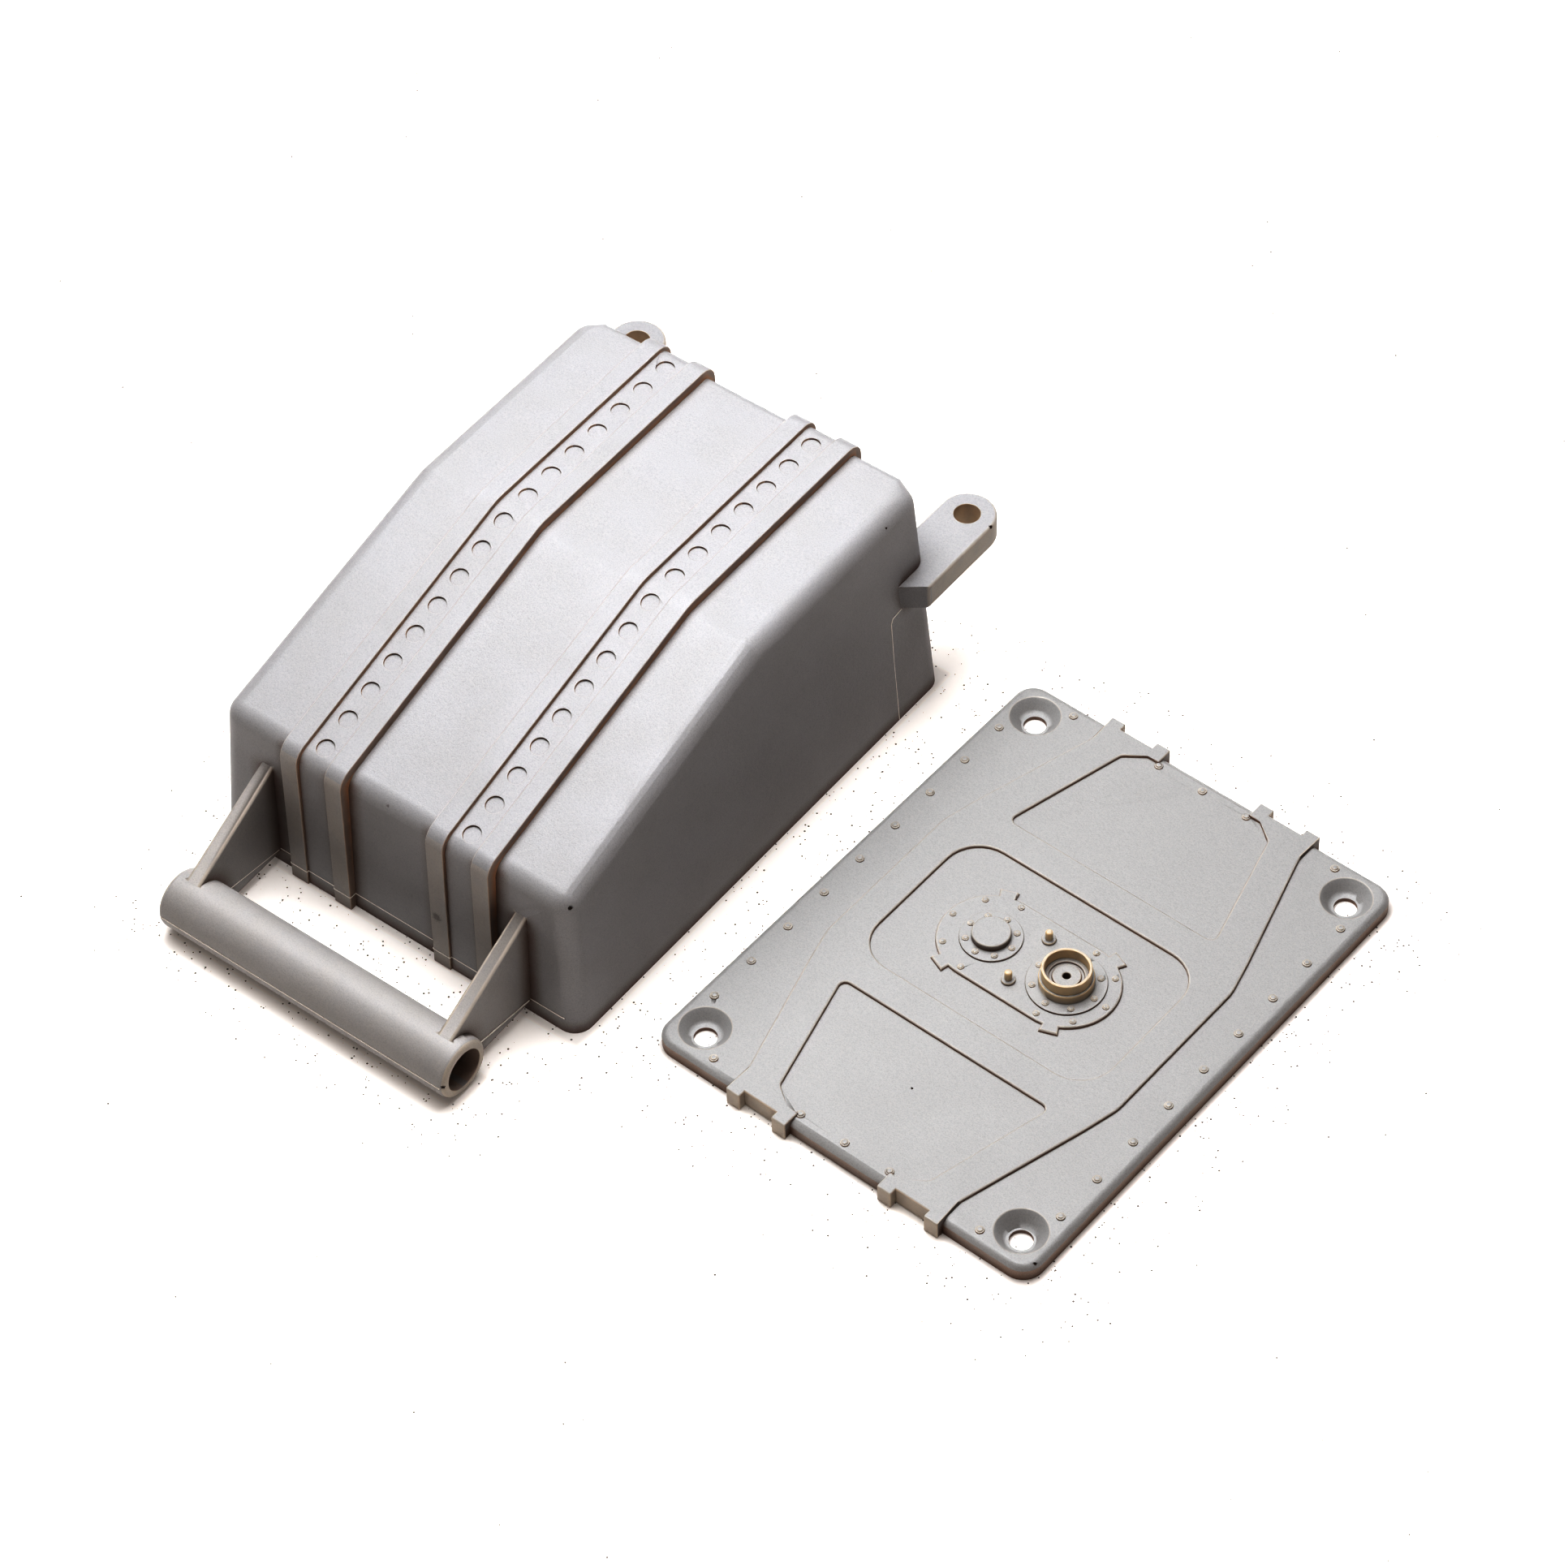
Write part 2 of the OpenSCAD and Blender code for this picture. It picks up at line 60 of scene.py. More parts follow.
# Layer that notes which rule rounded a face, counted from 1
RULE_LAYER = "rounding_rule"
# Sockets of the Mix node that carry colours
MIX_INPUTS = (6, 7)
MIX_RESULT = 2

Point = tuple[float, float, float]
Rgb = tuple[float, float, float]
Colour = tuple[float, float, float, float]
Socket = bpy.types.NodeSocket
Value = Socket | float

log = logging.getLogger("fuel_cell_cage")


class Slot(Enum):
    """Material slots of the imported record."""

    GREY_PLASTIC = "grey_plastic"


# Finish


@dataclass(frozen=True)
class Mark:
    """A small nick or speck on a moulding.

    Attributes:
        place: middle of the mark.
        reach: radius of the mark.
        sunk: whether it is a nick in the surface and not only a stain.
    """

    place: Point
    reach: float
    sunk: bool = True


@dataclass(frozen=True)
class Noise:
    """Lumps of fractal noise.

    Attributes:
        pitch: width of a lump.
        detail: how many finer layers it carries.
        rough: how strong these are.
    """

    pitch: float
    detail: float
    rough: float


@dataclass(frozen=True)
class Ramp:
    """A smooth step from one range of values to another.

    Attributes:
        low: value where the step begins.
        high: value where it ends.
        to_low: what the low value becomes.
        to_high: what the high value becomes.
    """

    low: float
    high: float
    to_low: float = 0.0
    to_high: float = 1.0


class Nodes:
    """Short calls for building one material's node tree.

    Attributes:
        material: the material.
        tree: its node tree.
    """

    def __init__(self, name: str) -> None:
        """Starts a material with an empty node tree.

        Args:
            name: name of the material.
        """
        self.material = bpy.data.materials.new(name)
        self.material.use_nodes = True
        self.tree = self.material.node_tree
        self.tree.nodes.clear()

    def put(self, socket: Socket, value: object) -> None:
        """Links a node's input to an output, or sets its constant.

        Args:
            socket: the input.
            value: an output socket or a constant.
        """
        if isinstance(value, Socket):
            self.tree.links.new(value, socket)
        else:
            socket.default_value = value

    def add(self, kind: str, inputs: dict | None = None, **settings: object) -> bpy.types.Node:
        """Adds a node.

        Args:
            kind: the node's class, without the word ShaderNode in front.
            inputs: socket name or number to either an output socket or a constant.
            settings: properties of the node.

        Returns:
            The new node.
        """
        node = self.tree.nodes.new("ShaderNode" + kind)
        for key, value in settings.items():
            setattr(node, key, value)
        for key, value in (inputs or {}).items():
            self.put(node.inputs[key], value)
        return node

    def maths(self, operation: str, *values: Value) -> Socket:
        """Adds a Math node and returns its output."""
        return self.add("Math", dict(enumerate(values)), operation=operation).outputs[0]

    def vector(self, operation: str, *values: object) -> bpy.types.Node:
        """Adds a Vector Math node and returns it."""
        return self.add("VectorMath", dict(enumerate(values)), operation=operation)

    def ramp(self, value: Socket, step: Ramp) -> Socket:
        """Maps a value over a smooth step and returns the result."""
        inputs = {"Value": value, "From Min": step.low, "From Max": step.high,
                  "To Min": step.to_low, "To Max": step.to_high}
        return self.add("MapRange", inputs, interpolation_type="SMOOTHSTEP").outputs["Result"]

    def noise(self, place: Socket, lumps: Noise) -> Socket:
        """Adds noise over a place and returns it."""
        inputs = {"Vector": place, "Scale": 1 / (lumps.pitch * MM), "Detail": lumps.detail,
                  "Roughness": lumps.rough}
        return self.add("TexNoise", inputs).outputs["Fac"]

    def cells(self, place: Socket, pitch: float, **settings: str) -> bpy.types.Node:
        """Adds a pattern of ragged cells, pitch wide, and returns its node."""
        inputs = {"Vector": place, "Scale": 1 / (pitch * MM), "Randomness": 1.0}
        return self.add("TexVoronoi", inputs, **settings)

    def mix(self, factor: Socket, first: object, second: object) -> Socket:
        """Mixes two colours.

        Args:
            factor: share of the second.
            first: a colour, as an output socket or a constant.
            second: another.

        Returns:
            The mixed colour.
        """
        node = self.add("Mix", {"Factor": factor}, data_type="RGBA")
        for number, value in zip(MIX_INPUTS, (first, second)):
            self.put(node.inputs[number], value)
        return node.outputs[MIX_RESULT]

    def surface(self, inputs: dict) -> bpy.types.Material:
        """Ends the tree.

        Args:
            inputs: what goes into the Principled shader, by name of the socket.

        Returns:
            The material.
        """
        shader = self.add("BsdfPrincipled", inputs)
        self.add("OutputMaterial", {"Surface": shader.outputs["BSDF"]})
        return self.material


def metres(place: Point) -> list[float]:
    """A place in metres, from one in millimetres."""
    return [c * MM for c in place]


@dataclass(frozen=True)
class MouldedPlastic:
    """Light grey plastic from a spark-eroded mould, with its grain and dirt, and painted light and
    shade.

    Attributes:
        body: colour of the plastic.
        deep: colour of the darker part of its mottling.
        edge: colour of the painted highlights on rounded edges and of the grain's peaks.
        thin: colour of the painted glow where light comes through thin walls.
        step: colour of the painted shade on the sides of low steps.
        soil_and_shade: colour of the dirt in the grain and of the painted shade in inner corners.
        nick: colour of nicks and specks.
        bead_highlight: body colour of the parting lines, far lighter than the plastic as a painted
            highlight.
        plate: body colour of the cover plate.
        roughness: roughness of the plastic, about which it varies.
        ior: its index of refraction.
        grain: the fine grain.
        mottle: the broad changes of tone.
        flow: the noise that breaks up every mask.
        pit_pitch: distance between the pits.
        mottled: share of the deep colour over the mottle.
        worn_grain: share of the edge colour over the grain.
        soiled_grain: share of the soil over the grain.
        edge_highlight_share: greatest share of the painted highlight on rounded edges.
        step_shade_share: greatest share of the steps' painted shade.
        thin_glow_share: greatest share of the thin walls' painted glow.
        broken: the part of the flow over which a mask grows to its greatest share.
        broken_share: how much of that share is left below that part.
        corner_reach: how far round a place the corners count.
        corner_samples: rays that look for a corner.
        corner_sky: open share of the surroundings below which a place is in a corner, over the
            upward part of its normal.
        corner_shade: share of the painted corner shade, over how much less than that is open.
        corner_flow: how the flow thins the painted corner shade out.
        step_holds_shade_off: how much a step holds the painted corner shade off, where a thin wall
            counts as 1.
        corner_shade_left: share of the painted corner shade that is left over the sum of both.
        grain_rough: change of the roughness over the grain.
        mottle_rough: change of the roughness over the mottle.
        grain_height: share of the grain in the relief.
        pit_height: share of the pits in the relief.
        relief: depth of the relief.
        relief_strength: strength of the relief.
        dent: depth of the nicks.
        ragged: how the grain changes the distance from a mark, which makes it ragged.
        mark_core: share of a mark's radius within which it is full.
        stain_share: strength of a mark that is only a stain.
    """

    body: Colour = (0.392, 0.394, 0.407, 1.0)
    deep: Colour = (0.385, 0.386, 0.395, 1.0)
    edge: Colour = (0.53, 0.50, 0.46, 1.0)
    thin: Colour = (0.80, 0.66, 0.46, 1.0)
    step: Colour = (0.60, 0.34, 0.18, 1.0)
    soil_and_shade: Colour = (0.15, 0.075, 0.038, 1.0)
    nick: Colour = (0.05, 0.025, 0.015, 1.0)
    bead_highlight: Colour = (0.90, 0.87, 0.82, 1.0)
    plate: Colour = (0.393, 0.395, 0.397, 1.0)
    roughness: float = 0.42
    ior: float = 1.5
    grain: Noise = Noise(0.17, 3.0, 0.62)
    mottle: Noise = Noise(9.0, 3.0, 0.55)
    flow: Noise = Noise(2.4, 2.0, 0.5)
    pit_pitch: float = 0.55
    mottled: Ramp = Ramp(0.35, 0.7)
    worn_grain: Ramp = Ramp(0.4, 0.7, 0.0, 0.26)
    soiled_grain: Ramp = Ramp(0.5, 0.3, 0.0, 0.12)
    edge_highlight_share: float = 0.8
    step_shade_share: float = 0.85
    thin_glow_share: float = 0.9
    broken: tuple[float, float] = (0.25, 0.6)
    broken_share: float = 0.7
    corner_reach: float = 2.4
    corner_samples: int = 2
    corner_sky: Ramp = Ramp(0.35, 0.85, 0.93, 0.5)
    corner_shade: Ramp = Ramp(0.0, 0.5, 0.0, 0.9)
    corner_flow: Ramp = Ramp(0.2, 0.6, 0.75, 1.0)
    step_holds_shade_off: float = 0.19
    corner_shade_left: Ramp = Ramp(0.0, 0.25, 1.0, 0.0)
    grain_rough: Ramp = Ramp(0.3, 0.7, -0.04, 0.06)
    mottle_rough: Ramp = Ramp(0.3, 0.7, -0.03, 0.04)
    grain_height: float = 0.7
    pit_height: float = 0.5
    relief: float = 0.05
    relief_strength: float = 0.7
    dent: float = 0.25
    ragged: Ramp = Ramp(0.3, 0.7, 0.7, 1.5)
    mark_core: float = 0.55
    stain_share: float = 0.4

    def build(self, name: str, marks: Sequence[Mark]) -> bpy.types.Material:
        """Makes the material.

        Args:
            name: name of the material.
            marks: nicks and specks of the piece that wears it.

        Returns:
            The material.
        """
        n = Nodes(name)
        place = n.add("TexCoord").outputs["Object"]
        grain = n.noise(place, self.grain)
        mottle = n.noise(place, self.mottle)
        colour = self._colour(n, grain, mottle, n.noise(place, self.flow))
        rough = n.maths("ADD", n.ramp(grain, self.grain_rough), n.ramp(mottle, self.mottle_rough))
        pits = n.cells(place, self.pit_pitch, feature="SMOOTH_F1").outputs["Distance"]
        height = n.maths("ADD", n.maths("MULTIPLY", grain, self.grain_height),
                         n.maths("MULTIPLY", pits, self.pit_height))
        bump = n.add("Bump", {"Strength": self.relief_strength, "Distance": self.relief * MM,
                              "Height": height})
        if marks:
            stained, sunk = self._marks(n, place, grain, marks)
            colour = n.mix(stained, colour, self.nick)
            bump = n.add("Bump", {"Strength": 1.0, "Distance": self.dent * MM, "Height": sunk,
                                  "Normal": bump.outputs["Normal"]}, invert=True)
        return n.surface({"Base Color": colour, "Roughness": n.maths("ADD", rough, self.roughness),
                          "Normal": bump.outputs["Normal"], "IOR": self.ior})

    def _colour(self, n: Nodes, grain: Socket, mottle: Socket, flow: Socket) -> Socket:
        """The plastic's colour with its grain, dirt and painted light and shade, but without its
        marks.

        Args:
            n: the node tree.
            grain: the fine grain.
            mottle: the broad changes of tone.
            flow: the noise that breaks up the masks.

        Returns:
            The colour.
        """
        colour = n.mix(n.ramp(mottle, self.mottled), self.body, self.deep)
        colour = n.mix(n.ramp(grain, self.worn_grain), colour, self.edge)
        colour = n.mix(n.ramp(grain, self.soiled_grain), colour, self.soil_and_shade)
        # Painted highlights on the rounded edges
        colour = n.mix(self._masked(n, EDGE_HIGHLIGHT_MASK, flow, self.edge_highlight_share), colour, self.edge)
        # Painted shade on the sides of low steps
        step = self._masked(n, STEP_SHADE_MASK, flow, self.step_shade_share)
        colour = n.mix(step, colour, self.step)
        # Painted glow where light comes through thin walls
        thin = self._masked(n, THIN_GLOW_MASK, flow, self.thin_glow_share)
        colour = n.mix(thin, colour, self.thin)
        # Painted shade in the inner corners, held off where the glow or the step shade is painted
        shade_held_off = n.maths("ADD", thin, n.maths("MULTIPLY", step, self.step_holds_shade_off))
        darkened = n.maths("MULTIPLY", self._painted_corner_shade(n, flow), n.ramp(shade_held_off, self.corner_shade_left))
        return n.mix(darkened, colour, self.soil_and_shade)

    def _masked(self, n: Nodes, mask: str, flow: Socket, most: float) -> Socket:
        """A mask that the mesh carries, broken up a little.

        Args:
            n: the node tree.
            mask: name of the mask.
            flow: the noise that breaks it up.
            most: its greatest share.

        Returns:
            The mask.
        """
        carried = n.add("Attribute", attribute_name=mask).outputs["Fac"]
        broken = Ramp(*self.broken, self.broken_share * most, most)
        return n.maths("MULTIPLY", carried, n.ramp(flow, broken))

    def _painted_corner_shade(self, n: Nodes, flow: Socket) -> Socket:
        """Mask of the painted shade in the inner corners, most of all on the walls.

        Args:
            n: the node tree.
            flow: the noise that thins the painted shade out.

        Returns:
            The mask.
        """
        sky = n.add("AmbientOcclusion", {"Distance": self.corner_reach * MM},
                    samples=self.corner_samples).outputs["AO"]
        upward = n.add("SeparateXYZ", {0: n.add("NewGeometry").outputs["Normal"]}).outputs["Z"]
        needed = n.ramp(n.maths("ABSOLUTE", upward), self.corner_sky)
        darkened = n.ramp(n.maths("SUBTRACT", needed, sky), self.corner_shade)
        return n.maths("MULTIPLY", darkened, n.ramp(flow, self.corner_flow))

    def _marks(self, n: Nodes, place: Socket, grain: Socket,
               marks: Iterable[Mark]) -> tuple[Value, Value]:
        """Masks of all marks, and of those that are sunk.

        Args:
            n: the node tree.
            place: Object coordinates.
            grain: the noise that makes the outlines ragged.
            marks: the marks.

        Returns:
            The mask of every mark and the mask of the sunk ones.
        """
        ragged = n.ramp(grain, self.ragged)
        masks: dict[bool, Value] = {True: 0.0, False: 0.0}
        for mark in marks:
            far = n.vector("DISTANCE", place, metres(mark.place)).outputs["Value"]
            full = Ramp(mark.reach * MM, self.mark_core * mark.reach * MM)
            spot = n.ramp(n.maths("MULTIPLY", far, ragged), full)
            masks[mark.sunk] = n.maths("MAXIMUM", masks[mark.sunk], spot)
        stains = n.maths("MULTIPLY", masks[False], self.stain_share)
        return n.maths("MAXIMUM", masks[True], stains), masks[True]


@dataclass(frozen=True)
class Footprint:
    """A rectangle of the board that a piece covers.

    Attributes:
        middle: its middle.
        half: half its width and length.
        turn: its angle on the board, in degrees.
    """

    middle: Point
    half: Point
    turn: float = 0.0


@dataclass(frozen=True)
class PaleFloor:
    """Matte white board, with fine dust that thins out from the pieces and a painted shadow round
    them.

    Attributes:
        board: colour of the board.
        dust_and_shadow: colour of the dust and of the painted contact shadow.
        glow: colour of the light that comes through the board.
        glow_strength: strength of that light near the pieces and far from them.
        glow_span: distances from the middle between which that light grows.
        roughness: roughness of the board.
        specular: strength of its reflections.
        feet: the rectangles that the pieces cover.
        dust_reach: how far from the pieces the dust lies.
        crowd: share of the places with a speck where the dust ends and at the pieces.
        speck_pitch: distance between the places where a speck can lie.
        speck_size: greatest radius of a speck, as a share of that distance.
        speck_blur: width of its soft outline, as a share of it.
        speck_share: how much a speck covers the board.
        contact_shadow_reach: how far from the pieces the painted contact shadow lies.
        contact_shadow_share: how much it covers the board at the pieces.
    """

    board: Colour = (0.80, 0.785, 0.77, 1.0)
    dust_and_shadow: Colour = (0.05, 0.038, 0.03, 1.0)
    glow: Colour = (1.0, 0.96, 0.92, 1.0)
    glow_strength: tuple[float, float] = (0.31, 0.9)
    glow_span: tuple[float, float] = (180.0, 620.0)
    roughness: float = 0.9
    specular: float = 0.2
    feet: tuple[Footprint, ...] = (
        Footprint((0.0, 0.0, 0.0), (30.4, 39.5, 0.0)),
        Footprint((0.0, -53.8, 0.0), (24.2, 2.6, 0.0)),
        Footprint((70.1, 3.8, 0.0), (30.2, 39.3, 0.0), -2.1),
    )
    dust_reach: float = 14.0
    crowd: tuple[float, float] = (0.003, 0.42)
    speck_pitch: float = 0.5
    speck_size: float = 0.3
    speck_blur: float = 0.03
    speck_share: float = 0.8
    contact_shadow_reach: float = 1.3
    contact_shadow_share: float = 0.2

    def build(self) -> bpy.types.Material:
        """Makes the material.

        Returns:
            The material.
        """
        n = Nodes("pale_board")
        place = n.add("TexCoord").outputs["Object"]
        far = self._far(n, place)
        # Painted contact shadow in a narrow band round the pieces
        contact_shadow = n.ramp(far, Ramp(self.contact_shadow_reach * MM, 0.0, 0.0, self.contact_shadow_share))
        darkened = n.maths("MAXIMUM", self._specks(n, place, far), contact_shadow)
        glowing = Ramp(self.glow_span[0] * MM, self.glow_span[1] * MM, *self.glow_strength)
        strength = n.ramp(n.vector("LENGTH", place).outputs["Value"], glowing)
        return n.surface({
            "Base Color": n.mix(darkened, self.board, self.dust_and_shadow), "Roughness": self.roughness,
            "Specular IOR Level": self.specular,
            "Emission Color": n.mix(darkened, self.glow, self.dust_and_shadow), "Emission Strength": strength})

    def _specks(self, n: Nodes, place: Socket, far: Socket) -> Socket:
        """Mask of the specks of dust.

        Args:
            n: the node tree.
            place: Object coordinates.
            far: distance from the pieces, in metres.

        Returns:
            The mask.
        """
        cell = n.cells(place, self.speck_pitch)
        draws = n.add("SeparateColor", {"Color": cell.outputs["Color"]}).outputs
        crowd = n.ramp(far, Ramp(self.dust_reach * MM, 0.0, *self.crowd))
        size = n.maths("MULTIPLY", draws[1], self.speck_size)
        outline = Ramp(self.speck_blur, -self.speck_blur, 0.0, self.speck_share)
        speck = n.ramp(n.maths("SUBTRACT", cell.outputs["Distance"], size), outline)
        return n.maths("MULTIPLY", speck, n.maths("LESS_THAN", draws[0], crowd))

    def _far(self, n: Nodes, place: Socket) -> Value:
        """Distance from a place on the board to the nearest rectangle that a piece covers.

        Args:
            n: the node tree.
            place: Object coordinates.

        Returns:
            The distance in metres, at most 1.
        """
        nearest: Value = 1.0
        for foot in self.feet:
            inward = n.vector("SUBTRACT", place, metres(foot.middle)).outputs[0]
            turned = n.add("VectorRotate", {"Vector": inward, "Angle": math.radians(-foot.turn)},
                           rotation_type="Z_AXIS").outputs[0]
            side = n.vector("ABSOLUTE", turned).outputs[0]
            past = n.vector("SUBTRACT", side, metres(foot.half)).outputs[0]
            outside = n.vector("MAXIMUM", past, (0.0, 0.0, 0.0)).outputs[0]
            length = n.vector("LENGTH", outside).outputs["Value"]
            nearest = n.maths("MINIMUM", nearest, length)
        return nearest


# Mouldings


@dataclass(frozen=True)
class Box:
    """A box in a piece's own folded millimetres.

    Folded means that x and y are distances from the piece's middle lines, as both pieces are
    symmetrical.

    Attributes:
        low: its lowest corner.
        high: its highest corner.
    """

    low: Point
    high: Point

    def holds(self, *points: Vector) -> bool:
        """Whether all points lie in the box."""
        return all(self.low[i] <= p[i] <= self.high[i] for p in points for i in range(3))


@dataclass(frozen=True)
class EdgeRadius:
    """One rule of the mould: the sharp outer edges inside a box get this radius.

    Attributes:
        name: what the edges belong to.
        box: the box.
        radius: the radius.
        steps: how many faces make the rounding.
        through: strength of the painted glow of the light that comes through the rounded part.
    """

    name: str
    box: Box
    radius: float
    steps: int = 3
    through: float = 0.0


@dataclass(frozen=True)
class ThinWall:
    """An upright round zone of a piece whose walls are thin, with a painted glow where light comes
    through.

    Attributes:
        centre: the zone's middle, in the piece's own millimetres.
        inner: radius where it begins.
        outer: radius where it ends.
        foot: height where the walls begin to let light through.
        tip: height from which they let all of it through.
    """

    centre: tuple[float, float]
    inner: float
    outer: float
    foot: float
    tip: float

    def share(self, own: Vector) -> float:
        """How far a point lies in the zone.

        Args:
            own: the point, in the piece's own millimetres.

        Returns:
            A share from 0 to 1.
        """
        out = math.hypot(own.x - self.centre[0], own.y - self.centre[1])
        if not self.inner <= out <= self.outer:
            return 0.0
        return min(1.0, max(0.0, (own.z - self.foot) / (self.tip - self.foot)))


@dataclass(frozen=True)
class WallPatch:
    """The faces inside a box of a piece that carry a mask.

    Attributes:
        mask: name of the mask.
        box: the box.
        share: how strong the mask is.
        facing: least part of the faces' normals across, along and up the piece.
        upward: greatest part of the faces' normals upward.
    """

    mask: str
    box: Box
    share: float = 1.0
    facing: Point = (0.0, 0.0, 0.0)
    upward: float = 0.5

    def holds(self, middle: Vector, normal: Vector) -> bool:
        """Whether a face with this folded middle and this normal is one of the patch."""
        faces = all(abs(normal[i]) >= self.facing[i] for i in range(3))
        return faces and abs(normal.z) <= self.upward and self.box.holds(middle)


@dataclass
class Moulding:
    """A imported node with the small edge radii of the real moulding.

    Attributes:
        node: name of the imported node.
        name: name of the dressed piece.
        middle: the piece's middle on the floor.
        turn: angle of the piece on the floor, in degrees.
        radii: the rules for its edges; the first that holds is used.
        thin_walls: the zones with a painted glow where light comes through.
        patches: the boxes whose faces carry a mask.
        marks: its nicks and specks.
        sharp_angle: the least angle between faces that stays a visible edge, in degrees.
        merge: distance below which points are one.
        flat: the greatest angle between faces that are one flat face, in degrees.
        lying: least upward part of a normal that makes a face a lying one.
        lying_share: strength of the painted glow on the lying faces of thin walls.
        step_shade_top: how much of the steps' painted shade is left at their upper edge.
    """

    node: str
    name: str
    middle: tuple[float, float] = (0.0, 0.0)
    turn: float = 0.0
    radii: tuple[EdgeRadius, ...] = ()
    thin_walls: tuple[ThinWall, ...] = ()
    patches: tuple[WallPatch, ...] = ()
    marks: tuple[Mark, ...] = ()
    sharp_angle: float = 34.0
    merge: float = 0.002
    flat: float = 0.12
    lying: float = 0.9
    lying_share: float = 0.4
    step_shade_top: float = 0.3

    def build(self, finish: MouldedPlastic) -> bpy.types.Object:
        """Makes the dressed piece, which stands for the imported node.

        Args:
            finish: the plastic.

        Returns:
            The piece.
        """
        bm = bmesh.new()
        bm.from_mesh(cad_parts[self.node].data)
        bmesh.ops.remove_doubles(bm, verts=bm.verts, dist=self.merge * MM)
        bmesh.ops.dissolve_limit(bm, angle_limit=math.radians(self.flat), verts=bm.verts,
                                 edges=bm.edges, use_dissolve_boundaries=False, delimit=set())
        rounded = self._round_edges(bm)
        self._note_walls(bm)
        piece = finished(bm, self.name, self.sharp_angle)
        piece.data.materials.append(finish.build(self.name + "_plastic", self.marks))
        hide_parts(self.node)
        log.info("%s: %d edges rounded, %d faces", self.name, rounded, len(piece.data.polygons))
        return piece

    def _turned(self, co: Vector) -> Vector:
        """A direction along the piece's own axes."""
        return Matrix.Rotation(math.radians(-self.turn), 3, "Z") @ co

    def _own(self, co: Vector) -> Vector:
        """A point in the piece's own millimetres."""
        return self._turned(co / MM - Vector((*self.middle, 0.0)))

    def _folded(self, co: Vector) -> Vector:
        """A point in the piece's own folded millimetres."""
        own = self._own(co)
        return Vector((abs(own.x), abs(own.y), own.z))

    def _round_edges(self, bm: bmesh.types.BMesh) -> int:
        """Rounds the sharp outer edges, one rule after the other, and notes where in the painted
        highlight's mask.

        Args:
            bm: the piece's mesh, which is changed.

        Returns:
            How many edges were rounded.
        """
        done = 0
        rounding = bm.faces.layers.int.new(RULE_LAYER)
        for index, rule in enumerate(self.radii):
            chosen = [e for e in bm.edges
                      if self._sharp(e) and self._wanted(e, rule, self.radii[:index])]
            done += len(chosen)
            made = bmesh.ops.bevel(bm, geom=chosen, offset=rule.radius * MM, offset_type="OFFSET",
                                   segments=rule.steps, profile=0.5, affect="EDGES",
                                   clamp_overlap=False, material=-1, loop_slide=True)
            for face in made["faces"]:
                face[rounding] = index + 1
            log.info("%s, %s: %d edges", self.name, rule.name, len(chosen))
        # Points that only rounded faces share get the painted edge highlight
        mask = bm.verts.layers.float.new(EDGE_HIGHLIGHT_MASK)
        for vert in bm.verts:
            vert[mask] = float(all(f[rounding] > 0 for f in vert.link_faces))
        return done

    def _note_walls(self, bm: bmesh.types.BMesh) -> None:
        """Writes the masks of the painted glow of thin walls and of the painted shade on steps.

        Args:
            bm: the piece's mesh, which gets the masks.
        """
        bm.normal_update()
        rounding = bm.faces.layers.int[RULE_LAYER]
        # Layers of the painted glow and of the painted step shade
        thin, step = (bm.loops.layers.float.new(name) for name in (THIN_GLOW_MASK, STEP_SHADE_MASK))
        for face in bm.faces:
            patch = self._patch_shares(face)
            if face[rounding]:
                rule = self.radii[face[rounding] - 1]
                patch[THIN_GLOW_MASK] = max(patch[THIN_GLOW_MASK], rule.through)
            lying = abs(face.normal.z) > self.lying
            for loop in face.loops:
                own = self._own(loop.vert.co)
                share = max((zone.share(own) for zone in self.thin_walls), default=0.0)
                through = share if not lying else self.lying_share * float(share == 1.0)
                loop[thin] = max(through, patch[THIN_GLOW_MASK])
                at_edge = any(f[rounding] for f in loop.vert.link_faces)
                loop[step] = patch[STEP_SHADE_MASK] * (self.step_shade_top if at_edge else 1.0)
        bm.faces.layers.int.remove(rounding)

    def _patch_shares(self, face: bmesh.types.BMFace) -> dict[str, float]:
        """How strongly the patches put each mask on a face.

        Args:
            face: the face.

        Returns:
            The share by name of the mask.
        """
        middle = self._folded(face.calc_center_median())
        normal = self._turned(face.normal)
        shares = {THIN_GLOW_MASK: 0.0, STEP_SHADE_MASK: 0.0}
        for patch in self.patches:
            if patch.holds(middle, normal):
                shares[patch.mask] = max(shares[patch.mask], patch.share)
        return shares

    def _sharp(self, edge: bmesh.types.BMEdge) -> bool:
        """Whether the edge is an outer edge that is still sharp."""
        return (len(edge.link_faces) == 2 and edge.is_convex
                and edge.calc_face_angle() > math.radians(self.sharp_angle))

    def _wanted(self, edge: bmesh.types.BMEdge, rule: EdgeRadius,
                others: Iterable[EdgeRadius]) -> bool:
        """Whether the rule, and none of the others, holds for the edge."""
        ends = [self._folded(v.co) for v in edge.verts]
        return rule.box.holds(*ends) and not any(o.box.holds(*ends) for o in others)


def runs(edges: Iterable[bmesh.types.BMEdge]) -> list[list[bmesh.types.BMEdge]]:
    """Splits edges into runs that hang together.

    Args:
        edges: the edges.

    Returns:
        The runs.
    """
    left = dict.fromkeys(edges)
    found = []
    while left:
        first = next(iter(left))
        del left[first]
        run, todo = [first], [first]
        while todo:
            for vert in todo.pop().verts:
                for edge in vert.link_edges:
                    if edge in left:
                        del left[edge]
                        run.append(edge)
                        todo.append(edge)
        found.append(run)
    return found


